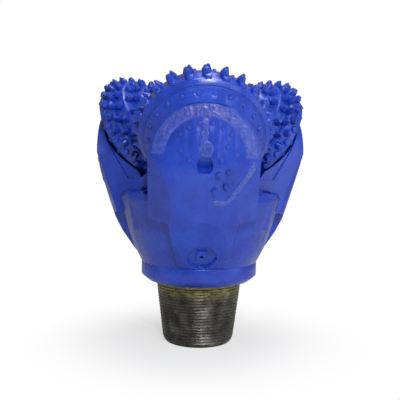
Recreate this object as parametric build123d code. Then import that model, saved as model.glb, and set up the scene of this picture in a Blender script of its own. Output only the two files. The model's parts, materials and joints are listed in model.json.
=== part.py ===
"""Tricone rock bit, 17 1/2 in gage, on an API 7 5/8 REG pin.

The bit stands on its pin end: +Z runs from the pin towards the cones, the bit axis is Z, and the
origin is the centre of the pin's end face. Lengths are millimetres and angles are degrees.

Each leg is built facing +X and turned to its place. Each cone is built along its own journal: its
local Z is the journal axis, and its local zero is the plane of the cone's outer lip.
"""
from math import cos, radians, sin, sqrt
import os

from build123d import *

# Legs and cones
leg_azimuths = (-90, 30, 150)
sector = 120
gage_radius = 222.25
journal_angle = 36
lip_radius = 124
lip_inset = 4
lip_height = 430

# Threaded pin and shank
pin_end_radius = 71
pin_taper = 0.125
pin_length = 133.35
pin_relief = 12.7
pin_chamfer = 3
pin_spigot = 6
pin_spigot_gap = 0.3
shoulder_radius = 107.35
shank_radius = 121.2
shank_bevel = 11.5
shank_top = 172
water_bore_radius = 45
plenum_radius = 50
water_bore_top = 212

# Leg form
leg_half_width = 104
leg_arc_radius = 101
leg_arc_top = 492
shelf_radius = 168
shelf_height = 318
crotch_height = 286
wing_bottom = 275
panel_half_width = 47
panel_skirt = 19
panel_top = 306
panel_top_radius = 212
facet_top = 393
facet_bottom_inset = 56

# Cone shell, along the journal from the lip plane
heel_slope = 1.36
heel_length = 23.3
back_gap = 1.7
cone_clear = 12
land_half = 10.5
nose_length = 134
row_clear = 4

# Tungsten carbide inserts
insert_sides = 8
insert_radius = 8
insert_tip = 4
insert_height = 13
insert_straight = 5
insert_grip = 14
compact_radius = 5
compact_height = 2.5
compact_grip = 8
heel_compacts = 22
heel_row = -14

# Bearing, along the journal from the lip plane
journal_radius = 52
journal_fit = 0.1
bushing_wall = 5
bushing_end = 34
seal_boss_radius = 56
seal_section = 4.6
seal_squeeze = 0.2
seal_room = 10.6
seal_lip = 1.5
seal_bevel = 2
ball_radius = 10
ball_count = 9
ball_orbit = 45.2
ball_place = 46
ball_fit = 0.2
race_radius = 44
race_gap = 2.4
washer_wall = 3
washer_gap = 0.1
pilot_radius = 26
pilot_bushing = 5
pilot_end = 84
bore_end = 87
ball_hole_entry = 24
ball_hole_length = 74
recess_radius = 14.5
recess_depth = 14
recess_height = 373

# Lubricant reservoir
reservoir_height = 199
reservoir_radius = 29
reservoir_depth = 58
reservoir_fit = 0.1
cap_wall = 5
cap_depth = 5
boss_width = 20
boss_length = 28
boss_height = 4
ring_wall = 3
ring_width = 4
ring_gap = 12
ring_groove = 1.5
canister_wall = 3
diaphragm_wall = 3
diaphragm_depth = 26
vent_radius = 3.5

# Nozzle
nozzle_orbit = 140
nozzle_tilt = 12
nozzle_boss_radius = 31
nozzle_boss_rise = 6
nozzle_pocket = 20
nozzle_pocket_depth = 42
nozzle_wall = 6
nozzle_length = 24
nozzle_throat = 8
nozzle_fit = 0.1
retainer_length = 12
o_ring_section = 2.4
o_ring_place = 8
o_ring_bevel = 0.8
passage_radius = 16

lip_orbit = gage_radius - lip_inset - lip_radius * sin(radians(journal_angle))
heel_radius = lip_radius - heel_slope * heel_length
leg_face = -heel_length - back_gap
tilt_sin = sin(radians(journal_angle))
tilt_cos = cos(radians(journal_angle))
journal = Plane(origin=(lip_orbit, 0, lip_height), x_dir=(tilt_sin, 0, tilt_cos),
                z_dir=(-tilt_cos, 0, tilt_sin)).location
nozzle_foot = -nozzle_pocket_depth
far = 3 * gage_radius
standing = (Align.CENTER, Align.CENTER, Align.MIN)


def turned(points):
    """Solid of revolution about Z from (radius, height) points."""
    outline = Polyline(*[(radius, 0, height) for radius, height in points], close=True)
    return revolve(make_face(outline), Axis.Z, 360)


def ring(outer, inner, low, high):
    return turned([(inner, low), (outer, low), (outer, high), (inner, high)])


def rod(radius, low, high):
    return Pos(0, 0, low) * Cylinder(radius, high - low, align=standing)


def rod_between(radius, start, end):
    """Round bar from one point to another."""
    path = Vector(*end) - Vector(*start)
    return Plane(origin=start, z_dir=path).location * rod(radius, 0, path.length)


def on_leg(shape, number):
    return Rot(0, 0, leg_azimuths[number]) * shape


def room(place):
    """Largest radius a cone may sweep at this place without crossing into its neighbour's sector."""
    half = radians(sector / 2)
    lean = sqrt(1 - (sin(half) * tilt_cos) ** 2)
    return (lip_orbit - place * tilt_cos) * sin(half) / lean


def land_radius(place, tilt):
    """Radius of a row's land, which puts the insert tips just inside the room that the cone has."""
    reach = place + insert_height * sin(radians(tilt))
    return room(reach) - row_clear - insert_height * cos(radians(tilt))


# Insert rows: place along the journal, tilt towards the nose, count, land radius
gage_row = (20, 3, 24, lip_radius - 1)
inner_rows = [(place, tilt, count, land_radius(place, tilt))
              for place, tilt, count in ((46, 12, 21), (72, 30, 15), (97, 40, 9), (118, 48, 5))]


def cone_envelope():
    """Outline of the cone shell, back face to nose, with a flat land under each row."""
    points = [(0, -heel_length), (heel_radius, -heel_length), (lip_radius, 0)]
    for place, tilt, _, radius in [gage_row] + inner_rows:
        along = land_half * cos(radians(tilt))
        across = land_half * sin(radians(tilt))
        points += [(radius + across, place - along), (radius - across, place + along)]
    last = points[-1][0]
    return turned(points + [(last - 6, nose_length), (0, nose_length)])


def cone_cavity():
    """Seal gland, bushing seat, ball race, thrust seat and pilot seat of the cone, as one void."""
    seat = journal_radius + bushing_wall
    gland = seal_boss_radius + 2 * seal_section
    race = race_radius + race_gap
    thrust = ball_place + ball_radius + washer_wall + washer_gap
    pilot = pilot_radius + pilot_bushing
    gland_end = seal_room - heel_length
    void = turned([(0, -heel_length - 1), (gland, -heel_length - 1), (gland, gland_end),
                   (seat, gland_end), (seat, bushing_end), (race, bushing_end), (race, thrust),
                   (pilot, thrust), (pilot, bore_end), (0, bore_end)])
    return void + ball_race()


def ball_race():
    return Pos(0, 0, ball_place) * Torus(ball_orbit, ball_radius + ball_fit)


def insert(height, straight, radius, tip, grip):
    """Faceted carbide button: shank, straight collar and tapered crown, standing on Z = 0."""
    shank = extrude(RegularPolygon(radius, insert_sides), straight + grip)
    crown_base = Pos(0, 0, straight) * RegularPolygon(radius, insert_sides)
    crown_top = Pos(0, 0, height) * RegularPolygon(tip, insert_sides)
    return Pos(0, 0, -grip) * shank + loft([crown_base, crown_top])


def around(place, tilt, count, radius, phase=0):
    """Locations of a row of inserts: each local Z leaves the land at right angles."""
    lean = radians(tilt)
    for index in range(count):
        turn = Rot(0, 0, 360 * (index + phase) / count)
        yield turn * Plane(origin=(radius, 0, place), z_dir=(cos(lean), 0, sin(lean))).location


def row_of(shape, row, phase=0):
    return [place * shape for place in around(*row, phase)]


def gage_inserts():
    return row_of(insert(insert_height, insert_straight, insert_radius, insert_tip, insert_grip), gage_row)


def inner_inserts():
    button = insert(insert_height, insert_straight, insert_radius, insert_tip, insert_grip)
    pieces = []
    for number, row in enumerate(inner_rows):
        pieces += row_of(button, row, number / 2)
    return pieces + [Pos(0, 0, nose_length) * button]


def heel_row_place():
    tilt = -90 + journal_angle
    return heel_row, tilt, heel_compacts, lip_radius + heel_slope * heel_row


def compact():
    return insert(compact_height, compact_height / 3, compact_radius, compact_radius / 2, compact_grip)


def heel_buttons():
    return row_of(compact(), heel_row_place(), 1 / 2)


def cone_shell(buttons):
    shell = cone_envelope() - cone_cavity()
    return shell - buttons


def journal_profile():
    """Journal pin that the cone turns on, from inside the leg to the pilot's end."""
    shoulder = ball_place + ball_radius
    boss_end = seal_room - heel_length
    root = leg_face - 1
    return turned([(0, root), (seal_boss_radius, root), (seal_boss_radius, boss_end),
                   (journal_radius, boss_end), (journal_radius, bushing_end - 1),
                   (race_radius, bushing_end - 1), (race_radius, shoulder), (pilot_radius, shoulder),
                   (pilot_radius, pilot_end), (0, pilot_end)]) - ball_race()


def cone_room():
    """Space that a leg leaves for the cone and its inserts to turn in."""
    sweep = gage_row[3] + insert_height + cone_clear
    nose_room = room(nose_length) + cone_clear
    return turned([(0, leg_face), (sweep - cone_clear, leg_face), (sweep, 0), (sweep, inner_rows[0][0]),
                   (nose_room, nose_length + 2 * insert_height), (0, nose_length + 2 * insert_height)])


def outer_form():
    """Blank of the legs: near gage above, and drawn in to the shank below, as a turned form."""
    skin = gage_radius - lip_inset
    points = [(0, shank_top), (shank_radius, shank_top), (142, 195), (167, 229), (185, 263),
              (200, 298), (211, 332), (skin, 374), (skin, lip_height + 90), (0, lip_height + 90)]
    return turned(points)


def shelf_form():
    """Body between the legs: a shelf for the nozzles, dished in the middle."""
    return turned([(0, shank_top), (shank_radius, shank_top), (138, 205), (153, 250),
                   (shelf_radius, shelf_height - 12), (shelf_radius - 6, shelf_height),
                   (water_bore_radius + 70, shelf_height), (water_bore_radius + 20, crotch_height),
                   (0, crotch_height)])


def leg_outline():
    """Leg as seen from outside: round shirttail, straight sides, wings and the narrow lower panel."""
    half = leg_half_width
    shoulder = leg_arc_top - leg_arc_radius
    waist = panel_half_width + panel_skirt
    low = panel_half_width - 2
    side = Polyline((half, shoulder), (half, wing_bottom), (waist, wing_bottom - 8),
                    (low, shank_top), (-low, shank_top), (-waist, wing_bottom - 8),
                    (-half, wing_bottom), (-half, shoulder))
    arc = ThreePointArc((-half, shoulder), (0, leg_arc_top), (half, shoulder))
    face = make_face(Plane.YZ * (side + arc))
    return extrude(face, far, dir=(1, 0, 0))


def beyond(point, normal):
    """Half-space beyond a plane, as a block large enough to cut with."""
    return Plane(origin=point, z_dir=normal).location * Box(far, far, far, align=standing)


def panel_normal():
    run = Vector(panel_top_radius - shank_radius, 0, panel_top - shank_top)
    return run.cross(Vector(0, 1, 0)) * -1


def wing_facets():
    """Flat chamfers that turn the leg's lower corners back to the body."""
    skin = gage_radius - lip_inset
    edge = leg_half_width - 8
    for side in (1, -1):
        top = Vector(sqrt(skin ** 2 - edge ** 2), side * edge, facet_top)
        inner = Vector(sqrt(panel_top_radius ** 2 - panel_half_width ** 2), side * panel_half_width, panel_top)
        low = Vector(top.X - facet_bottom_inset, side * leg_half_width, wing_bottom)
        normal = (inner - top).cross(low - top)
        yield beyond(top, normal if normal.X > 0 else normal * -1)


def wedge():
    """The third of the body that one leg brings."""
    half = radians(sector / 2)
    corner = (far * cos(half), far * sin(half))
    face = make_face(Polyline((0, 0), corner, (far, 0), (corner[0], -corner[1]), close=True))
    return Pos(0, 0, shank_top) * extrude(face, far)


def panel_point():
    """Where the reservoir's axis leaves the panel."""
    share = (reservoir_height - shank_top) / (panel_top - shank_top)
    return (shank_radius + share * (panel_top_radius - shank_radius), 0, reservoir_height)


def reservoir_place():
    """Local Z points out of the panel, and local zero is on its face."""
    return Plane(origin=panel_point(), x_dir=(0, 1, 0), z_dir=panel_normal()).location


def nozzle_place():
    """Local Z points up along the jet, and local zero is the top of the boss."""
    lean = radians(nozzle_tilt)
    at = Plane(origin=(nozzle_orbit, 0, shelf_height + nozzle_boss_rise), x_dir=(cos(lean), 0, -sin(lean)),
               z_dir=(sin(lean), 0, cos(lean))).location
    return Rot(0, 0, sector / 2) * at


def ball_hole_ends():
    """Line of the ball hole: from the leg's skin, slanting along the journal to the ball race."""
    along = Vector(-tilt_cos, 0, tilt_sin)
    across = Vector(tilt_sin, 0, tilt_cos)
    entry = journal.position - along * ball_hole_length + across * ball_hole_entry
    return entry, journal.position + along * ball_place + across * ball_orbit


def ball_hole():
    entry, race = ball_hole_ends()
    outside = entry + (entry - race) * 0.3
    return rod_between(ball_radius + ball_fit, tuple(outside), tuple(race))


def ball_plug():
    """Plug that closes the ball hole: its end completes the ball race, its head is welded over."""
    entry, race = ball_hole_ends()
    way = (race - entry).normalized()
    plug = rod_between(ball_radius, tuple(entry - way * 2 * ball_radius), tuple(race - way * ball_radius * 0.8))
    skin = gage_radius - lip_inset - 2
    head = (plug & rod(skin, 0, far)) - journal * cone_room()
    return head + (plug & journal * journal_profile())


def recess():
    """Blind drilling below the ball plug."""
    start = (gage_radius + 1, 0, recess_height)
    drift = recess_depth + lip_inset
    return rod_between(recess_radius, start, (start[0] - drift * tilt_cos, 0, recess_height + drift * tilt_sin))


def shirttail_compacts():
    """Places of the buttons that guard the leg: an arc under the shirttail and two slanting rows."""
    arc = leg_arc_radius * 0.62
    middle = leg_arc_top - leg_arc_radius
    spots = [(arc * sin(radians(turn)), middle + arc * cos(radians(turn))) for turn in (-48, -30, -11, 11, 30, 48)]
    spots += [(-45, 404), (-30, 388), (40, 411), (29, 386), (43, 366), (24, 361), (39, 340), (18, 331)]
    skin = gage_radius - lip_inset
    for across, height in spots:
        out = (sqrt(skin ** 2 - across ** 2), across, 0)
        yield Plane(origin=(out[0], across, height), z_dir=out).location


def leg_buttons():
    return [place * compact() for place in shirttail_compacts()]


def nozzle_boss():
    return nozzle_place() * rod(nozzle_boss_radius, nozzle_foot - nozzle_boss_radius, 0)


def nozzle_passage():
    """Drilling from the water course to the foot of the nozzle pocket."""
    foot = (nozzle_place() * Pos(0, 0, nozzle_foot + nozzle_wall)).position
    return rod_between(passage_radius, (0, 0, water_bore_top - passage_radius), tuple(foot))


def nozzle_pocket_void():
    return nozzle_place() * rod(nozzle_pocket, -nozzle_pocket_depth, 1) + nozzle_passage()


def reservoir_void():
    """Stepped bore for the canister and cap, with the snap ring's groove."""
    bore = rod(reservoir_radius, -reservoir_depth, reservoir_radius)
    groove = rod(reservoir_radius + ring_groove, -cap_depth, ring_wall - cap_depth)
    return reservoir_place() * (bore + groove)


def leg(buttons):
    """One leg with its third of the body, its journal, bores and pockets."""
    upper = outer_form() & leg_outline()
    upper = upper - [beyond(panel_face(), panel_normal())] - list(wing_facets())
    body = (upper + shelf_form()) & wedge()
    body = body + (nozzle_boss() & rod(far, shank_top, far))
    body = body - [Rot(0, 0, -sector) * nozzle_boss()]
    for turn in (0, sector, -sector):
        body = body - Rot(0, 0, turn) * (journal * cone_room())
    body = body + journal * journal_profile()
    voids = [rod(plenum_radius, 0, water_bore_top), nozzle_pocket_void(),
             Rot(0, 0, -sector) * nozzle_pocket_void(), reservoir_void(), ball_hole(), recess()]
    return body - voids - buttons


def panel_face():
    return (shank_radius, 0, shank_top)


def pin_root():
    """Height where the pin's taper ends and the radius of its plain relief."""
    base = pin_length - pin_relief
    return base, pin_end_radius + pin_taper * base


def threaded_pin():
    """Tapered pin below the shoulder; its plain relief runs on as a spigot that seats in the shank."""
    base, base_radius = pin_root()
    seat = pin_length + pin_spigot
    return turned([(water_bore_radius, 0), (pin_end_radius - pin_chamfer, 0), (pin_end_radius, pin_chamfer),
                   (base_radius, base), (base_radius, seat), (water_bore_radius, seat)])


def shank():
    """Round shank above the pin, with the sealing shoulder under it as a ring round the spigot."""
    seat = pin_length + pin_spigot
    socket_radius = pin_root()[1] + pin_spigot_gap
    return turned([(water_bore_radius, seat), (socket_radius, seat), (socket_radius, pin_length),
                   (shoulder_radius, pin_length), (shank_radius, pin_length + shank_bevel),
                   (shank_radius, shank_top), (water_bore_radius, shank_top)])


def flat_seal(inner, outer, low, high, bevel):
    """Elastomer ring of flattened section with bevelled corners."""
    return turned([(inner + bevel, low), (outer - bevel, low), (outer, low + bevel), (outer, high - bevel),
                   (outer - bevel, high), (inner + bevel, high), (inner, high - bevel), (inner, low + bevel)])


def seal():
    gland = seal_boss_radius + 2 * seal_section
    low = -heel_length + seal_lip
    return flat_seal(seal_boss_radius + seal_squeeze, gland, low, seal_room - heel_length, seal_bevel)


def bushing():
    start = seal_room - heel_length
    return ring(journal_radius + bushing_wall, journal_radius + journal_fit, start, bushing_end)


def thrust_washer():
    seat = ball_place + ball_radius + washer_gap
    return ring(race_radius - 1, pilot_radius + pilot_bushing, seat, seat + washer_wall)


def pilot_bush():
    start = ball_place + ball_radius + washer_wall + washer_gap
    return ring(pilot_radius + pilot_bushing, pilot_radius + journal_fit, start, pilot_end)


def balls():
    step = 360 / ball_count
    spot = Pos(ball_orbit, 0, ball_place) * Sphere(ball_radius)
    return [Rot(0, 0, step * (index + 1 / 2)) * spot for index in range(ball_count)]


def cap():
    """Reservoir cap with a raised square boss and a vent hole."""
    plate = rod(reservoir_radius - reservoir_fit, -cap_depth - cap_wall, -cap_depth)
    boss = Pos(0, 0, -cap_depth) * Box(boss_width, boss_length, boss_height, align=standing)
    return reservoir_place() * (plate + boss - rod(vent_radius, -far, far))


def snap_ring():
    outer = reservoir_radius + ring_groove - reservoir_fit
    loop = ring(outer, outer - ring_width, -cap_depth, ring_wall - cap_depth)
    gap = Pos(outer, 0, -cap_depth) * Box(3 * ring_width, ring_gap, ring_wall, align=standing)
    return reservoir_place() * (loop - gap)


def canister():
    """Cup in the reservoir bore, open towards the cap, with a grease port in its foot."""
    top = -cap_depth - cap_wall - diaphragm_wall
    low = -reservoir_depth
    outer = reservoir_radius - reservoir_fit
    cup = rod(outer, low, top) - rod(outer - canister_wall, low + canister_wall, far)
    return reservoir_place() * (cup - rod(vent_radius, -far, top))


def diaphragm():
    """Rubber diaphragm: its bead is clamped by the cap, and its cup hangs in the canister."""
    top = -cap_depth - cap_wall
    rim = reservoir_radius - reservoir_fit
    skirt = rim - canister_wall - diaphragm_wall
    bead = rod(rim, top - diaphragm_wall, top)
    bag = rod(skirt, top - diaphragm_depth, top - diaphragm_wall)
    hollow = rod(skirt - diaphragm_wall, top - diaphragm_depth + diaphragm_wall, top + 1)
    return reservoir_place() * (bead + bag - hollow)


def nozzle():
    """Carbide nozzle: a collar on its shoulder and a throat that narrows to the jet."""
    outer = nozzle_pocket - nozzle_fit
    bell = nozzle_foot + 2 * nozzle_throat
    body = rod(outer, nozzle_foot, nozzle_foot + nozzle_length)
    throat = turned([(0, nozzle_foot - 1), (outer - nozzle_wall, nozzle_foot - 1), (nozzle_throat, bell),
                     (nozzle_throat, far), (0, far)])
    low = nozzle_foot + o_ring_place
    groove = ring(outer + 1, outer - 2 * o_ring_section, low, low + 2 * o_ring_section)
    return nozzle_place() * (body - throat - groove)


def retainer():
    """Threaded ring that holds the nozzle down, with a hexagon socket."""
    low = nozzle_foot + nozzle_length
    body = rod(nozzle_pocket - nozzle_fit, low, low + retainer_length)
    socket = Pos(0, 0, low - 1) * extrude(RegularPolygon(nozzle_pocket - nozzle_wall, 6), retainer_length + 2)
    return nozzle_place() * (body - socket)


def o_ring():
    low = nozzle_foot + o_ring_place
    outer = nozzle_pocket - nozzle_fit
    return nozzle_place() * flat_seal(outer - 2 * o_ring_section, outer, low, low + 2 * o_ring_section, o_ring_bevel)


def write(name, shape):
    solids = shape if isinstance(shape, list) else [shape]
    solids = [solid for item in solids for solid in item.solids()]
    whole = Compound(children=solids) if len(solids) > 1 else solids[0]
    whole.label = name
    export_step(whole, f"parts/{name}.step")


def main():
    os.makedirs("parts", exist_ok=True)
    gage_set = gage_inserts()
    inner_set = inner_inserts()
    heel_set = heel_buttons()
    leg_set = leg_buttons()
    on_journal = {"cone": cone_shell(gage_set + inner_set + heel_set), "gage_inserts": gage_set,
                  "inner_inserts": inner_set, "heel_compacts": heel_set, "journal_bushing": bushing(),
                  "bearing_balls": balls(), "thrust_washer": thrust_washer(), "pilot_bushing": pilot_bush(),
                  "cone_seal": seal()}
    on_body = {"leg": leg(leg_set), "leg_compacts": leg_set, "ball_plug": ball_plug(), "reservoir_cap": cap(),
               "reservoir_snap_ring": snap_ring(), "reservoir_canister": canister(),
               "reservoir_diaphragm": diaphragm(), "nozzle": nozzle(), "nozzle_retainer": retainer(),
               "nozzle_o_ring": o_ring()}
    write("threaded_pin", threaded_pin())
    write("shank", shank())
    for number in range(len(leg_azimuths)):
        for name, shape in on_journal.items():
            pieces = shape if isinstance(shape, list) else [shape]
            write(f"{name}_{number + 1}", [on_leg(journal * piece, number) for piece in pieces])
        for name, shape in on_body.items():
            pieces = shape if isinstance(shape, list) else [shape]
            write(f"{name}_{number + 1}", [on_leg(piece, number) for piece in pieces])


main()
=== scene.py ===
"""Looks of a tricone rock bit: enamelled legs and cones, weld beads, and a bare threaded pin."""
import json
from math import cos, pi, radians, sin, tau

import bpy
from bpy.props import FloatProperty, IntProperty, PointerProperty, StringProperty
from mathutils import Matrix, Vector, noise
from mathutils.bvhtree import BVHTree


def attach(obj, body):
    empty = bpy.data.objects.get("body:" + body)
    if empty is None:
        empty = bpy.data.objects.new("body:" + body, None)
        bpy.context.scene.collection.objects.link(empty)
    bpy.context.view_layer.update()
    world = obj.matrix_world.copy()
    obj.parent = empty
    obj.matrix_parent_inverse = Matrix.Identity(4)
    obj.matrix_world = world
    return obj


bl_info = {
    "name": "Tricone Rock Bit",
    "version": (1, 0, 0),
    "blender": (4, 5, 0),
    "location": "View3D > Sidebar > Rock Bit",
    "description": "Finishes the parts of a three-cone rock bit",
    "category": "Object",
}

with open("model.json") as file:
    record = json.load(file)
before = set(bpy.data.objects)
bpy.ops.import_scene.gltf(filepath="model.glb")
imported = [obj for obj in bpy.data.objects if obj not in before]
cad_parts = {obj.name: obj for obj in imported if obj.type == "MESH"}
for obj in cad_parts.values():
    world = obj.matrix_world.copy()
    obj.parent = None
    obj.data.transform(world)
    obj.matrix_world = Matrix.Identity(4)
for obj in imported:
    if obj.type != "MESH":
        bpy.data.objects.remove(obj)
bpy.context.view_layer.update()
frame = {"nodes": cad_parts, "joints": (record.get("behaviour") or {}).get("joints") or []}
nodes = frame["nodes"]

MM = 0.001
LEGS = (1, 2, 3)
# Turn of each leg about the bit's axis, in degrees
LEG_TURN = (-90, 30, 150)
BODY = "bit_body"
SPINS = {joint["name"]: joint for joint in frame["joints"]}


def millimetres(name, about, default):
    return FloatProperty(name=name, description=about, default=default, min=0.0, unit="NONE")


def colour(name, about, value):
    return StringProperty(name=name, description=about, default=value)


def linear(hex_code):
    """Linear RGBA from an sRGB hex colour."""
    values = [int(hex_code[place:place + 2], 16) / 255 for place in (1, 3, 5)]
    return [v / 12.92 if v <= 0.04045 else ((v + 0.055) / 1.055) ** 2.4 for v in values] + [1]


def add_node(tree, kind, settings=None, **links):
    """Add a node: settings are its properties, and each link or value goes to the input it names."""
    node = tree.nodes.new(kind)
    for name, value in (settings or {}).items():
        setattr(node, name, value)
    for name, value in links.items():
        key = int(name[1:]) if name[0] == "_" else name.replace("_", " ")
        if isinstance(value, bpy.types.NodeSocket):
            tree.links.new(value, node.inputs[key])
        else:
            node.inputs[key].default_value = value
    return node


def new_material(name):
    """Empty node material with its output, and the shader that feeds it."""
    material = bpy.data.materials.new(name)
    material.use_nodes = True
    tree = material.node_tree
    tree.nodes.clear()
    shader = add_node(tree, "ShaderNodeBsdfPrincipled")
    add_node(tree, "ShaderNodeOutputMaterial", Surface=shader.outputs[0])
    return material, tree, shader


def ramp(tree, factor, stops):
    """Colour ramp from (position, hex) stops."""
    node = add_node(tree, "ShaderNodeValToRGB", Fac=factor)
    band = node.color_ramp.elements
    while len(band) < len(stops):
        band.new(0.5)
    for element, (place, code) in zip(band, stops):
        element.position = place
        element.color = linear(code)
    return node.outputs["Color"]


def per_metre(size_mm):
    """Noise scale that gives features of about this size."""
    return 1 / (size_mm * MM)


def grain(tree, size_mm, detail=3, rough=0.5):
    """Noise over the piece's own coordinates, with features of about this size."""
    coordinates = add_node(tree, "ShaderNodeTexCoord")
    noise_node = add_node(tree, "ShaderNodeTexNoise", Vector=coordinates.outputs["Object"],
                          Scale=per_metre(size_mm), Detail=detail, Roughness=rough)
    return noise_node.outputs["Fac"]


def bump(tree, height, depth_mm, normal=None, strength=1):
    links = {"Height": height, "Distance": depth_mm * MM, "Strength": strength}
    if normal:
        links["Normal"] = normal
    return add_node(tree, "ShaderNodeBump", **links).outputs["Normal"]


def enamel(name, settings, lump_mm, lump_depth, rough_low, rough_high, groove=None):
    """Sprayed gloss enamel on forged steel: thick, slightly uneven, with orange peel and dull patches."""
    material, tree, shader = new_material(name)
    patches = grain(tree, 60, 4, 0.6)
    tone = ramp(tree, patches, [(0.3, settings.enamel_shade), (0.52, settings.enamel),
                                (0.75, settings.enamel_light)])
    dull = add_node(tree, "ShaderNodeMapRange", Value=grain(tree, 22, 5, 0.6), From_Min=0.3, From_Max=0.7,
                    To_Min=rough_low, To_Max=rough_high).outputs[0]
    forged = bump(tree, grain(tree, lump_mm, 3, 0.5), lump_depth)
    if groove:
        forged = bump(tree, groove(tree), 2, forged)
    peel = bump(tree, grain(tree, 3.5, 2, 0.5), 0.12, forged)
    tree.links.new(tone, shader.inputs["Base Color"])
    tree.links.new(dull, shader.inputs["Roughness"])
    tree.links.new(peel, shader.inputs["Normal"])
    shader.inputs["IOR"].default_value = 1.5
    return material


def turned_groove(number, radius_mm, width_mm):
    """Groove turned round a cone's axis: its depth is worked out from the distance to the axis."""
    spin = SPINS[f"cone_{number}_spin"]

    def depth(tree):
        place = add_node(tree, "ShaderNodeTexCoord").outputs["Object"]
        axis = Vector(spin["axis"]).normalized()
        arm = add_node(tree, "ShaderNodeVectorMath", {"operation": "SUBTRACT"}, _0=place,
                       _1=Vector(spin["pos_m"]))
        across = add_node(tree, "ShaderNodeVectorMath", {"operation": "CROSS_PRODUCT"}, _0=arm.outputs[0],
                          _1=axis)
        radius = add_node(tree, "ShaderNodeVectorMath", {"operation": "LENGTH"}, _0=across.outputs[0])
        off = add_node(tree, "ShaderNodeMath", {"operation": "SUBTRACT"}, _0=radius.outputs["Value"],
                       _1=radius_mm * MM)
        size = add_node(tree, "ShaderNodeMath", {"operation": "ABSOLUTE"}, _0=off.outputs[0])
        wall = add_node(tree, "ShaderNodeMapRange", {"interpolation_type": "SMOOTHSTEP"},
                        Value=size.outputs[0], From_Min=width_mm * MM * 0.3, From_Max=width_mm * MM)
        return wall.outputs[0]

    return depth


def weld_enamel(settings):
    """Enamel over hardfacing weld: glossy lumps that catch the light as small bright points."""
    material, tree, shader = new_material("enamel_over_weld")
    tone = ramp(tree, grain(tree, 9, 4, 0.7), [(0.35, settings.enamel_shade), (0.6, settings.enamel_light)])
    lumps = bump(tree, grain(tree, 3.2, 5, 0.7), 1.4)
    tree.links.new(tone, shader.inputs["Base Color"])
    tree.links.new(lumps, shader.inputs["Normal"])
    shader.inputs["Roughness"].default_value = 0.09
    shader.inputs["Coat Weight"].default_value = 1
    shader.inputs["Coat Roughness"].default_value = 0.04
    return material


def oily_steel(settings):
    """Machined alloy steel under dark thread dope, with olive lubricant left at the shoulder; towards the
    pin's top its colour is lightened as a painted highlight, standing in for the reflection there.
    """
    material, tree, shader = new_material("oily_machined_steel")
    place = add_node(tree, "ShaderNodeTexCoord").outputs["Object"]
    height = add_node(tree, "ShaderNodeSeparateXYZ", Vector=place).outputs["Z"]
    ragged = add_node(tree, "ShaderNodeMath", {"operation": "MULTIPLY_ADD"}, _0=grain(tree, 14, 4, 0.6),
                      _1=0.03, _2=height).outputs[0]
    # Mask that rises towards the pin's top: real olive lubricant, and there also a painted highlight.
    grease_and_highlight_mask = add_node(tree, "ShaderNodeMapRange", Value=ragged, From_Min=settings.grease_and_highlight_from * MM,
                      From_Max=settings.grease_and_highlight_full * MM).outputs[0]
    steel = ramp(tree, grain(tree, 26, 5, 0.65), [(0.32, "#22211F"), (0.55, "#55534E"), (0.75, "#8A8880")])
    # Lubricant colours made lighter than the real film, to paint in the reflected light at the pin's top.
    grease_and_highlight = ramp(tree, grain(tree, 9, 4, 0.6), [(0.3, "#55512C"), (0.55, "#948D54"), (0.75, "#CDC79C")])
    mixed = add_node(tree, "ShaderNodeMix", {"data_type": "RGBA"}, _0=grease_and_highlight_mask, _6=steel, _7=grease_and_highlight).outputs[2]
    film = add_node(tree, "ShaderNodeMapRange", Value=grain(tree, 12, 4, 0.6), From_Min=0.3, From_Max=0.7,
                    To_Min=0.22, To_Max=0.48).outputs[0]
    tree.links.new(mixed, shader.inputs["Base Color"])
    tree.links.new(film, shader.inputs["Roughness"])
    tree.links.new(bump(tree, grain(tree, 2.5, 3, 0.6), 0.15), shader.inputs["Normal"])
    shader.inputs["Metallic"].default_value = 0.75
    return material


def plain_metal(name, dark, light, roughness, scratch_mm):
    """Turned or ground metal with fine wear."""
    material, tree, shader = new_material(name)
    tree.links.new(ramp(tree, grain(tree, 8, 4), [(0.3, dark), (0.7, light)]), shader.inputs["Base Color"])
    tree.links.new(bump(tree, grain(tree, scratch_mm, 3), 0.03), shader.inputs["Normal"])
    shader.inputs["Metallic"].default_value = 1
    shader.inputs["Roughness"].default_value = roughness
    return material


def rubber(name):
    """Moulded nitrile rubber: dark, matt and faintly mottled."""
    material, tree, shader = new_material(name)
    tone = ramp(tree, grain(tree, 4, 3), [(0.3, "#141414"), (0.7, "#232322")])
    tree.links.new(tone, shader.inputs["Base Color"])
    tree.links.new(bump(tree, grain(tree, 0.8, 2), 0.05), shader.inputs["Normal"])
    shader.inputs["Roughness"].default_value = 0.6
    return material


def finish_node(name, material, edge_mm=0.0, segments=2, angle=35):
    """Give a solid its finish and soften its edges, as forging, grinding and paint leave them."""
    piece = nodes[name]
    piece.data.materials.clear()
    piece.data.materials.append(material)
    if not edge_mm:
        return
    weld = piece.modifiers.new("join_faces", "WELD")
    weld.merge_threshold = 0.02 * MM
    soften = piece.modifiers.new("soft_edges", "BEVEL")
    soften.width = edge_mm * MM
    soften.segments = segments
    soften.limit_method = "ANGLE"
    soften.angle_limit = radians(angle)
    soften.harden_normals = True


def finish_each(stem, material, edge_mm=0.0, segments=2, angle=35):
    for number in LEGS:
        finish_node(f"{stem}_{number}", material, edge_mm, segments, angle)


def mesh_piece(name, points, faces, material, body, smooth=True):
    """New mesh piece that rides on a body."""
    mesh = bpy.data.meshes.new(name)
    mesh.from_pydata(points, [], faces)
    mesh.validate()
    mesh.materials.append(material)
    if smooth:
        mesh.shade_smooth()
    piece = bpy.data.objects.new(name, mesh)
    bpy.context.scene.collection.objects.link(piece)
    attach(piece, body)
    return piece


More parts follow.
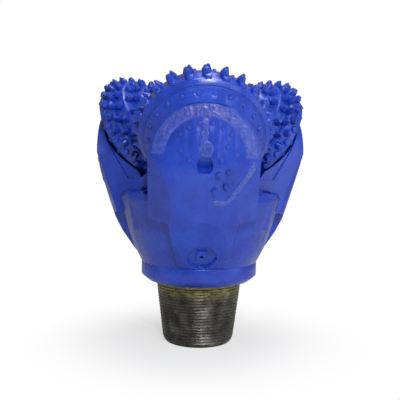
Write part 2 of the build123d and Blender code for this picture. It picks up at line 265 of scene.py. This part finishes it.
# Rows between the solid ones: place along the cone's axis, radius of the base, tilt, count, height and
# tip radius, in millimetres and degrees. The first is the low trimming row at the lip.
STAGGERED_ROWS = ((9, 121, 0, 24, 8, 5.5), (33, 113, 6, 24, 22, 2.6), (59, 92, 20, 18, 18, 2.8),
                  (85, 66, 34, 12, 16, 3), (108.5, 42, 45, 7, 15, 3))


def button(points, faces, base, outward, radius, height, tip):
    """Add one round insert: a straight collar, sunk a little, and a crown that narrows to a blunt tip."""
    side = outward.orthogonal().normalized()
    other = outward.cross(side)
    sunk = 5
    profile = [(radius, -sunk), (radius, height * 0.38), (radius * 0.93, height * 0.5),
               (tip * 1.25, height * 0.88), (tip, height * 0.96), (tip * 0.7, height)]
    sides = 14
    first = len(points)
    for wide, up in profile:
        for index in range(sides):
            turn = tau * index / sides
            points.append(base + (outward * up + (side * cos(turn) + other * sin(turn)) * wide) * MM)
    for level in range(len(profile) - 1):
        for index in range(sides):
            here = first + level * sides + index
            after = first + level * sides + (index + 1) % sides
            faces.append((here, after, after + sides, here + sides))
    faces.append([first + index for index in range(sides - 1, -1, -1)])
    faces.append([first + (len(profile) - 1) * sides + index for index in range(sides)])


# Section of the pocket's rim as radius from the cone's axis and place along it, in millimetres
RIM_SECTION = ((98, -24.8), (129.5, 0), (131.5, 3), (148.6, 3), (148.3, 0), (137, -24.8))
RIM_STEPS = 120
RIM_EDGE = 1.5

# Lamps: name, place and aim in metres, width and height in metres, power in watts
LAMPS = (("softbox_front", (0.6, -2.0, 1.9), (0, 0, 0.38), 0.7, 0.7, 15),
         ("strip_front", (1.2, -1.85, 0.8), (0, 0, 0.35), 0.2, 1.0, 3),
         ("softbox_left", (-2.4, -0.6, 0.9), (0, 0, 0.3), 0.6, 1.4, 2.5),
         ("softbox_right", (2.2, -0.9, 0.9), (0, 0, 0.3), 1.2, 2.0, 10),
         ("softbox_top", (0.2, 0.2, 2.3), (0, 0, 0.4), 0.9, 0.9, 18),
         ("flash", (0.1, -1.7, 1.3), (0, 0, 0.42), 0.1, 0.1, 16))


def wrapped_tube(rows):
    """Points and faces of a closed ring of sections, each section a closed loop of points."""
    count = len(rows[0])
    points = [point for row in rows for point in row]
    faces = []
    for row in range(len(rows)):
        for place in range(count):
            here = row * count + place
            right = row * count + (place + 1) % count
            up = (row + 1) % len(rows) * count
            faces.append((here, right, up + (place + 1) % count, up + place))
    return points, faces


class BodySettings(bpy.types.PropertyGroup):
    enamel: colour("Enamel", "Colour of the enamel in plain light", "#1A3DB0")
    enamel_shade: colour("Enamel shade", "Colour where the enamel lies thin", "#15319A")
    enamel_light: colour("Enamel light", "Colour where the enamel lies thick", "#2149BF")
    forged_edge: millimetres("Forged edge", "Rounding of the legs' edges, mm", 3.0)
    cone_edge: millimetres("Cone edge", "Rounding of the cones' edges, mm", 1.2)
    insert_edge: millimetres("Insert edge", "Rounding of the inserts' facets, mm", 1.8)
    insert_radius: millimetres("Insert radius", "Radius of the staggered inserts, mm", 7.4)
    heel_groove: millimetres("Heel groove", "Radius of the groove inside the cone's lip, mm", 114)
    groove_width: millimetres("Groove width", "Half width of that groove, mm", 2.4)


class ThreadSettings(bpy.types.PropertyGroup):
    pitch: millimetres("Pitch", "Distance between thread crests, mm", 6.35)
    depth: millimetres("Depth", "Height of the crests above the taper, mm", 2.4)
    start: millimetres("Start", "Height of the first crest above the pin's end, mm", 4.0)
    end: millimetres("End", "Height where the thread runs out, mm", 131.0)
    small_radius: millimetres("Small radius", "Radius of the taper at the pin's end, mm", 71.0)
    taper: FloatProperty(name="Taper", description="Radius gained per length", default=0.125)
    sides: IntProperty(name="Sides", description="Steps round the pin", default=144, min=24)
    # Heights of the olive lubricant at the pin's top, whose lightened colour is partly a painted highlight.
    grease_and_highlight_from: millimetres("Grease from", "Height where grease begins, mm", 112.0)
    grease_and_highlight_full: millimetres("Grease full", "Height where grease covers the steel, mm", 140.0)


class WeldSettings(bpy.types.PropertyGroup):
    skin: millimetres("Skin", "Radius of the legs' outer face, mm", 218.25)
    arc_radius: millimetres("Arc radius", "Radius of the shirttail's rounded top, mm", 101.0)
    arc_height: millimetres("Arc height", "Height of the arc's centre, mm", 391.0)
    band_width: millimetres("Band width", "Width of the hardfacing band, mm", 25.0)
    bead_width: millimetres("Bead width", "Width of the single weld beads, mm", 11.0)
    lump: millimetres("Lump", "Height of the weld lumps, mm", 2.2)
    grain: millimetres("Grain", "Width of the weld lumps, mm", 6.0)
    step: millimetres("Step", "Distance between the mesh points, mm", 1.3)
    plug_height: millimetres("Plug height", "Height of the ball plug's weld, mm", 407.0)
    plug_radius: millimetres("Plug radius", "Radius of the ball plug's weld, mm", 15.0)


class StageSettings(bpy.types.PropertyGroup):
    distance: FloatProperty(name="Distance", description="Camera's distance from the bit axis", default=1.4,
                            unit="LENGTH")
    height: FloatProperty(name="Height", description="Camera's height over the floor", default=0.4145,
                          unit="LENGTH")
    pitch: FloatProperty(name="Pitch", description="How far the camera looks down", default=radians(4.73),
                         subtype="ANGLE")
    round: FloatProperty(name="Round", description="Camera's turn about the bit axis", default=radians(-2.1),
                         subtype="ANGLE")
    roll: FloatProperty(name="Roll", description="Camera's lean to one side", default=radians(1.0),
                        subtype="ANGLE")
    lens: FloatProperty(name="Lens", description="Focal length on a 36 mm sensor", default=59.84)
    backdrop: colour("Backdrop", "Colour of the floor and the room", "#FFFFFF")


class ROCKBIT_OT_stage(bpy.types.Operator):
    """Pale floor, soft lamps and the camera"""
    bl_idname = "rockbit.stage"
    bl_label = "Stage"

    def execute(self, context):
        settings = context.scene.rockbit_stage
        self.floor(settings)
        self.room(context.scene, settings)
        self.lamps()
        self.camera(context.scene, settings)
        context.scene.view_settings.view_transform = "Standard"
        return {"FINISHED"}

    def floor(self, settings):
        half = 6
        mesh = bpy.data.meshes.new("floor")
        corners = [(-half, -half, 0), (half, -half, 0), (half, half, 0), (-half, half, 0)]
        mesh.from_pydata(corners, [], [(0, 1, 2, 3)])
        floor = bpy.data.objects.new("floor", mesh)
        bpy.context.scene.collection.objects.link(floor)
        material, tree, shader = new_material("white_paper")
        shader.inputs["Base Color"].default_value = linear("#F2F2F2")
        shader.inputs["Roughness"].default_value = 0.9
        glow = add_node(tree, "ShaderNodeEmission", Color=linear(settings.backdrop), Strength=1.0)
        rays = add_node(tree, "ShaderNodeLightPath")
        place = add_node(tree, "ShaderNodeTexCoord").outputs["Object"]
        reach = add_node(tree, "ShaderNodeVectorMath", {"operation": "LENGTH"}, _0=place).outputs["Value"]
        fade = add_node(tree, "ShaderNodeMapRange", {"interpolation_type": "SMOOTHSTEP"}, Value=reach,
                        From_Min=0.08, From_Max=0.4, To_Min=0.6, To_Max=1.0).outputs[0]
        seen = add_node(tree, "ShaderNodeMath", {"operation": "MULTIPLY"}, _0=rays.outputs["Is Camera Ray"],
                        _1=fade)
        shade = add_node(tree, "ShaderNodeMixShader", _0=seen.outputs[0], _1=shader.outputs[0],
                         _2=glow.outputs[0])
        output = next(node for node in tree.nodes if node.type == "OUTPUT_MATERIAL")
        tree.links.new(shade.outputs[0], output.inputs["Surface"])
        mesh.materials.append(material)

    def room(self, scene, settings):
        world = bpy.data.worlds.new("studio")
        world.use_nodes = True
        scene.world = world
        tree = world.node_tree
        tree.nodes.clear()
        rays = add_node(tree, "ShaderNodeLightPath")
        plain = add_node(tree, "ShaderNodeBackground", Color=linear("#E8ECF2"), Strength=0.14)
        white = add_node(tree, "ShaderNodeBackground", Color=linear(settings.backdrop), Strength=1.0)
        mirror = add_node(tree, "ShaderNodeBackground", Color=linear("#FFFFFF"), Strength=0.35)
        gloss = add_node(tree, "ShaderNodeMixShader", _0=rays.outputs["Is Glossy Ray"], _1=plain.outputs[0],
                         _2=mirror.outputs[0])
        seen = add_node(tree, "ShaderNodeMixShader", _0=rays.outputs["Is Camera Ray"], _1=gloss.outputs[0],
                        _2=white.outputs[0])
        add_node(tree, "ShaderNodeOutputWorld", Surface=seen.outputs[0])

    def lamps(self):
        for row in LAMPS:
            self.lamp(*row)

    def lamp(self, name, place, aim, width, height, power):
        light = bpy.data.lights.new(name, "AREA")
        light.shape = "RECTANGLE"
        light.size = width
        light.size_y = height
        light.energy = power
        lamp = bpy.data.objects.new(name, light)
        lamp.location = place
        lamp.rotation_euler = (Vector(aim) - Vector(place)).to_track_quat("-Z", "Y").to_euler()
        bpy.context.scene.collection.objects.link(lamp)

    def camera(self, scene, settings):
        data = bpy.data.cameras.new("camera")
        data.lens = settings.lens
        camera = bpy.data.objects.new("camera", data)
        turn = Matrix.Rotation(settings.round, 4, "Z")
        place = Matrix.Translation((0, -settings.distance, settings.height))
        look = Matrix.Rotation(pi / 2 - settings.pitch, 4, "X") @ Matrix.Rotation(settings.roll, 4, "Z")
        camera.matrix_world = turn @ place @ look
        scene.collection.objects.link(camera)
        scene.camera = camera


class ROCKBIT_OT_body(bpy.types.Operator):
    """Enamelled legs with their caps, plugs and compacts"""
    bl_idname = "rockbit.body"
    bl_label = "Legs and body"

    def execute(self, context):
        settings = context.scene.rockbit_body
        paint = enamel("gloss_enamel_on_forging", settings, 34, 1.3, 0.2, 0.34)
        finish_each("leg", paint, settings.forged_edge, 3, 25)
        finish_each("leg_compacts", paint, settings.insert_edge / 2)
        finish_each("ball_plug", paint)
        for stem in ("reservoir_cap", "reservoir_snap_ring", "nozzle_retainer"):
            finish_each(stem, paint, settings.cone_edge / 2)
        for number, turn in zip(LEGS, LEG_TURN):
            self.pocket_rim(number, turn, paint)
        return {"FINISHED"}

    def pocket_rim(self, number, turn, paint):
        """Rim of the leg's cone pocket, which closes round the cone's heel with a narrow running gap."""
        spin = SPINS[f"cone_{number}_spin"]
        axis = Vector(spin["axis"]).normalized()
        centre = Vector(spin["pos_m"])
        lift = axis.orthogonal().normalized()
        rows = []
        for index in range(RIM_STEPS):
            around = Matrix.Rotation(tau * index / RIM_STEPS, 3, axis) @ lift
            rows.append([centre + (around * radius + axis * place) * MM for radius, place in RIM_SECTION])
        points, faces = wrapped_tube(rows)
        rim = mesh_piece(f"cone_pocket_rim_{number}", points, faces, paint, BODY, smooth=False)
        blank = self.leg_blank(turn)
        cut = rim.modifiers.new("leg_outline", "BOOLEAN")
        cut.operation = "INTERSECT"
        cut.object = blank
        bpy.context.view_layer.update()
        shape = bpy.data.meshes.new_from_object(rim.evaluated_get(bpy.context.evaluated_depsgraph_get()))
        rim.modifiers.clear()
        rim.data = shape
        shape.shade_smooth()
        soften = rim.modifiers.new("soft_edges", "BEVEL")
        soften.width = RIM_EDGE * MM
        soften.segments = 2
        soften.harden_normals = True
        bpy.data.objects.remove(blank)

    def leg_blank(self, turn):
        """Solid of the leg's outline, used only to trim the rim."""
        welds = bpy.context.scene.rockbit_weld
        half = welds.arc_radius + 2.6
        foot, core = 290, 60
        levels, steps = 48, 24
        below_top, below_skin = 0.5, 0.3
        spin = Matrix.Rotation(radians(turn), 3, "Z")
        top = []
        under = []
        for level in range(levels + 1):
            height = foot + (welds.arc_height + welds.arc_radius - below_top - foot) * level / levels
            above = max(0, height - welds.arc_height)
            wide = min(half, (welds.arc_radius ** 2 - above ** 2) ** 0.5)
            tops = []
            unders = []
            for step in range(steps + 1):
                across = wide * (step / (steps / 2) - 1)
                out = (welds.skin ** 2 - across ** 2) ** 0.5 - below_skin
                tops.append(spin @ Vector((out, across, height)) * MM)
                unders.append(spin @ Vector((core, across, height)) * MM)
            top.append(tops)
            under.append(unders)
        points, faces = closed_sheet(top, under)
        mesh = bpy.data.meshes.new("leg_blank")
        mesh.from_pydata(points, [], faces)
        blank = bpy.data.objects.new("leg_blank", mesh)
        bpy.context.scene.collection.objects.link(blank)
        return blank


class ROCKBIT_OT_pin(bpy.types.Operator):
    """Painted shank and bare pin with its tapered thread"""
    bl_idname = "rockbit.pin"
    bl_label = "Pin and thread"

    def execute(self, context):
        threads = context.scene.rockbit_thread
        body = context.scene.rockbit_body
        paint = enamel("gloss_enamel_on_shank", body, 40, 0.5, 0.22, 0.36)
        steel = oily_steel(threads)
        finish_node("shank", paint, body.cone_edge, 3, 25)
        finish_node("threaded_pin", steel, body.cone_edge / 2, 2, 25)
        points, faces = self.thread(threads)
        piece = mesh_piece("pin_thread", points, faces, steel, BODY)
        return {"FINISHED"}

    def thread(self, settings):
        """Closed sleeve over the taper whose outside rises and falls along one helix."""
        steps = 8
        rows = []
        count = int((settings.end - settings.start) / settings.pitch * steps)
        for index in range(count + 1):
            height = settings.start + index * settings.pitch / steps
            fade = min(1, index / steps, (count - index) / steps)
            rows.append(self.ring(settings, height, fade))
        for index in range(count, -1, -count):
            height = settings.start + index * settings.pitch / steps
            rows.append(self.ring(settings, height, None))
        return wrapped_tube(rows)

    def ring(self, settings, height, fade):
        """One level of the sleeve: outside with the thread's height, or inside where fade is None."""
        base = settings.small_radius + settings.taper * height
        ring = []
        for side in range(settings.sides):
            turn = tau * side / settings.sides
            phase = (height / settings.pitch - side / settings.sides) % 1
            crest = max(0, min(1, 3.2 * (0.5 - abs(phase - 0.5)) - 0.25))
            rise = -1.5 if fade is None else 0.12 + settings.depth * crest * fade - 0.4 * (fade == 0)
            radius = (base + rise) * MM
            ring.append((radius * cos(turn), radius * sin(turn), height * MM))
        return ring


class ROCKBIT_OT_cones(bpy.types.Operator):
    """Enamelled cones with their inserts and compacts"""
    bl_idname = "rockbit.cones"
    bl_label = "Cones and inserts"

    def execute(self, context):
        settings = context.scene.rockbit_body
        buttons = enamel("enamel_over_carbide", settings, 7, 0.25, 0.16, 0.3)
        for number in LEGS:
            groove = turned_groove(number, settings.heel_groove, settings.groove_width)
            paint = enamel(f"gloss_enamel_on_cone_{number}", settings, 20, 0.6, 0.2, 0.34, groove)
            finish_node(f"cone_{number}", paint, settings.cone_edge, 2, 30)
            self.staggered_rows(number, settings, buttons)
        finish_each("gage_inserts", buttons, settings.insert_edge, 3, 20)
        finish_each("inner_inserts", buttons, settings.insert_edge, 3, 20)
        finish_each("heel_compacts", buttons, settings.insert_edge / 2, 2, 20)
        return {"FINISHED"}

    def staggered_rows(self, number, settings, finish):
        """Rows of round carbide inserts set between the main rows of a cone."""
        spin = SPINS[f"cone_{number}_spin"]
        axis = Vector(spin["axis"]).normalized()
        centre = Vector(spin["pos_m"])
        points = []
        faces = []
        for place, radius, tilt, count, height, tip in STAGGERED_ROWS:
            for index in range(count):
                turn = Matrix.Rotation(tau * (index + 0.5) / count, 3, axis)
                lift = turn @ axis.orthogonal().normalized()
                outward = lift * cos(radians(tilt)) + axis * sin(radians(tilt))
                base = centre + (axis * place + lift * radius) * MM
                button(points, faces, base, outward, settings.insert_radius, height, tip)
        piece = mesh_piece(f"staggered_inserts_{number}", points, faces, finish, f"cone_assembly_{number}")


class ROCKBIT_OT_welds(bpy.types.Operator):
    """Hardfacing bands and beads on the legs, and the weld over each ball plug"""
    bl_idname = "rockbit.welds"
    bl_label = "Welds"

    def execute(self, context):
        settings = context.scene.rockbit_weld
        finish = weld_enamel(context.scene.rockbit_body)
        for number, turn in zip(LEGS, LEG_TURN):
            leg = Leg(number, turn)
            self.band(leg, settings, finish)
            self.bead(leg, settings, finish)
            self.plug_weld(leg, settings, finish)
        return {"FINISHED"}

    def band(self, leg, settings, finish):
        """Wide hardfacing band that follows the shirttail's rounded top."""
        outer = settings.arc_radius - 2.5
        inner = outer - settings.band_width
        across = int(settings.band_width / settings.step)
        rows = []
        first, last = radians(-86), radians(90)
        count = int(settings.arc_radius * (last - first) / settings.step)
        for index in range(count + 1):
            turn = first + (last - first) * index / count
            ends = min(1, index / 6, (count - index) / 6)
            row = []
            for place in range(across + 1):
                radius = inner + (outer - inner) * place / across
                spot = (radius * sin(turn), settings.arc_height + radius * cos(turn))
                edge = min(1, place / 3, (across - place) / 2, ends)
                row.append((spot, edge))
            rows.append(row)
        leg.sheet(f"hardfacing_band_{leg.number}", rows, settings, finish)

    def bead(self, leg, settings, finish):
        """Narrow bead that runs down the side, slants inwards and ends level."""
        path = [Vector(p) for p in ((93, 386), (88, 372), (66, 342), (44, 312), (36, 309), (14, 310))]
        half = settings.bead_width / 2
        across = int(settings.bead_width / settings.step * 1.4)
        spots = []
        for start, end in zip(path, path[1:]):
            steps = max(1, int((end - start).length / settings.step))
            spots += [start.lerp(end, step / steps) for step in range(steps)]
        rows = []
        for index, spot in enumerate(spots):
            before = spots[max(0, index - 4)]
            after = spots[min(len(spots) - 1, index + 4)]
            along = (after - before).normalized()
            side = Vector((-along.y, along.x))
            ends = min(1, index / 3, (len(spots) - 1 - index) / 3)
            row = []
            for place in range(across + 1):
                shift = 2 * place / across - 1
                point = spot + side * shift * half
                row.append(((point.x, point.y), min(ends, 1.15 * (1 - shift * shift) ** 0.5)))
            rows.append(row)
        leg.sheet(f"hardfacing_bead_{leg.number}", rows, settings, finish)

    def plug_weld(self, leg, settings, finish):
        """Round patch of weld over the ball plug."""
        rings = int(settings.plug_radius / settings.step)
        rows = []
        for index in range(48):
            turn = tau * index / 47
            row = []
            for place in range(rings + 1):
                radius = 0.3 + (settings.plug_radius - 0.3) * place / rings
                spot = (1 + radius * sin(turn), settings.plug_height + radius * cos(turn))
                row.append((spot, min(1, 0.3 + 0.7 * place / rings, (rings - place) / 2)))
            rows.append(row)
        leg.sheet(f"ball_plug_weld_{leg.number}", rows, settings, finish, bridged=True)
        self.plug_trail(leg, settings, finish)

    def plug_trail(self, leg, settings, finish):
        """Ragged strip of weld that runs up from the plug's patch and thins out."""
        length, broadest, start_across = 46, 18, -3
        count = int(length / settings.step)
        rows = []
        for index in range(count + 1):
            share = index / count
            height = settings.plug_height + settings.plug_radius * 0.6 + length * share
            half = 7 + 4 * noise.noise(Vector((share * 6, leg.number, 0)))
            across = int(broadest / settings.step)
            ends = min(1, index / 4, (count - index) / 8)
            row = []
            for place in range(across + 1):
                shift = 2 * place / across - 1
                spot = (start_across + 3 * share + shift * half, height)
                row.append((spot, ends * min(1, 2.2 * (1 - abs(shift))) * 0.6))
            rows.append(row)
        leg.sheet(f"ball_plug_trail_{leg.number}", rows, settings, finish, bridged=True)


class Leg:
    """One leg's outer face, as a surface that welds are laid on."""
    cast_from = 0.4
    deepest = 0.24
    plain_skin = 0.2175

    def __init__(self, number, turn):
        self.number = number
        self.turn = Matrix.Rotation(radians(turn), 3, "Z")
        mesh = nodes[f"leg_{number}"].data
        self.tree = BVHTree.FromPolygons([v.co for v in mesh.vertices], [p.vertices for p in mesh.polygons])

    def skin(self, across, height):
        """Point and normal of the leg's outside at a place across it and a height, in metres."""
        start = self.turn @ Vector((self.cast_from, across * MM, height * MM))
        inward = self.turn @ Vector((-1, 0, 0))
        spot, normal, _, _ = self.tree.ray_cast(start, inward)
        outward = self.turn @ Vector((1, 0, 0))
        if spot is None or (start - spot).length > self.deepest:
            missed = Vector((self.plain_skin - abs(across) * 0.00001, across * MM, height * MM))
            return self.turn @ missed, outward
        return spot, normal if normal.dot(outward) > 0 else -normal

    def turned_face(self, across, height):
        """Point and normal of the leg's turned outer face, as if it had no holes."""
        radius = bpy.context.scene.rockbit_weld.skin
        outward = Vector(((radius ** 2 - across ** 2) ** 0.5, across, 0)) / radius
        return self.turn @ (outward * radius + Vector((0, 0, height))) * MM, self.turn @ outward

    def sheet(self, name, rows, settings, finish, bridged=False):
        """Rough weld metal: a closed skin of lumps over the leg, sunk a little at its rim.

        A bridged sheet lies on the leg's turned face and spans the holes in it."""
        top = []
        under = []
        for row in rows:
            tops = []
            unders = []
            for (across, height), edge in row:
                spot, normal = self.turned_face(across, height) if bridged else self.skin(across, height)
                coarse = noise.fractal(spot * per_metre(settings.grain), 0.8, 2, 3)
                fine = noise.noise(spot * per_metre(settings.grain * 0.4))
                lump = settings.lump * (0.62 + 0.55 * coarse + 0.3 * fine)
                tops.append(spot + normal * (max(0.25, lump) * edge - 0.6 * (edge == 0)) * MM)
                unders.append(spot - normal * 1.2 * MM)
            top.append(tops)
            under.append(unders)
        points, faces = closed_sheet(top, under)
        piece = mesh_piece(name, points, faces, finish, BODY)


def closed_sheet(top, under):
    """Points and faces of a sheet with a top, an underside and a rim."""
    wide = len(top[0])
    tall = len(top)
    points = [p for row in top for p in row] + [p for row in under for p in row]
    shift = wide * tall
    faces = []
    for row in range(tall - 1):
        for place in range(wide - 1):
            a = row * wide + place
            faces.append((a, a + 1, a + wide + 1, a + wide))
            faces.append((shift + a, shift + a + wide, shift + a + wide + 1, shift + a + 1))
    rim = list(range(wide))
    rim += [row * wide + wide - 1 for row in range(1, tall)]
    rim += [(tall - 1) * wide + place for place in range(wide - 2, -1, -1)]
    rim += [row * wide for row in range(tall - 2, 0, -1)]
    for here, after in zip(rim, rim[1:] + rim[:1]):
        faces.append((after, here, shift + here, shift + after))
    return points, faces


class ROCKBIT_OT_inner(bpy.types.Operator):
    """Bearings, seals, reservoirs and nozzles"""
    bl_idname = "rockbit.inner"
    bl_label = "Inner parts"

    def execute(self, context):
        bronze = plain_metal("bored_bronze", "#8C6A3A", "#C39A5C", 0.3, 1.5)
        bearing = plain_metal("polished_bearing_steel", "#A9ABB0", "#D6D8DC", 0.08, 2)
        zinc = plain_metal("zinc_plated_steel", "#8D9096", "#BFC2C6", 0.35, 1)
        carbide = plain_metal("ground_tungsten_carbide", "#3E3F42", "#66686C", 0.28, 1.2)
        seal = rubber("nitrile_rubber")
        finishes = {"journal_bushing": bronze, "thrust_washer": bronze, "pilot_bushing": bronze,
                    "bearing_balls": bearing, "reservoir_canister": zinc, "nozzle": carbide,
                    "cone_seal": seal, "reservoir_diaphragm": seal, "nozzle_o_ring": seal}
        for stem, material in finishes.items():
            finish_each(stem, material)
        return {"FINISHED"}


class ROCKBIT_PT_panel(bpy.types.Panel):
    """Buttons that finish each group of pieces"""
    bl_label = "Rock Bit"
    bl_idname = "ROCKBIT_PT_panel"
    bl_space_type = "VIEW_3D"
    bl_region_type = "UI"
    bl_category = "Rock Bit"

    def draw(self, context):
        for operator in OPERATORS:
            self.layout.operator(operator.bl_idname)


SETTINGS = {"rockbit_body": BodySettings, "rockbit_thread": ThreadSettings, "rockbit_weld": WeldSettings,
            "rockbit_stage": StageSettings}
OPERATORS = (ROCKBIT_OT_stage, ROCKBIT_OT_body, ROCKBIT_OT_pin, ROCKBIT_OT_cones, ROCKBIT_OT_welds,
             ROCKBIT_OT_inner)


def register():
    for name, group in SETTINGS.items():
        bpy.utils.register_class(group)
        setattr(bpy.types.Scene, name, PointerProperty(type=group))
    for item in OPERATORS + (ROCKBIT_PT_panel,):
        bpy.utils.register_class(item)


def unregister():
    for item in (ROCKBIT_PT_panel,) + OPERATORS[::-1]:
        bpy.utils.unregister_class(item)
    for name, group in SETTINGS.items():
        delattr(bpy.types.Scene, name)
        bpy.utils.unregister_class(group)


def main():
    register()
    bpy.ops.rockbit.stage()
    bpy.ops.rockbit.body()
    bpy.ops.rockbit.pin()
    bpy.ops.rockbit.cones()
    bpy.ops.rockbit.welds()
    bpy.ops.rockbit.inner()


if __name__ == "__main__":
    main()
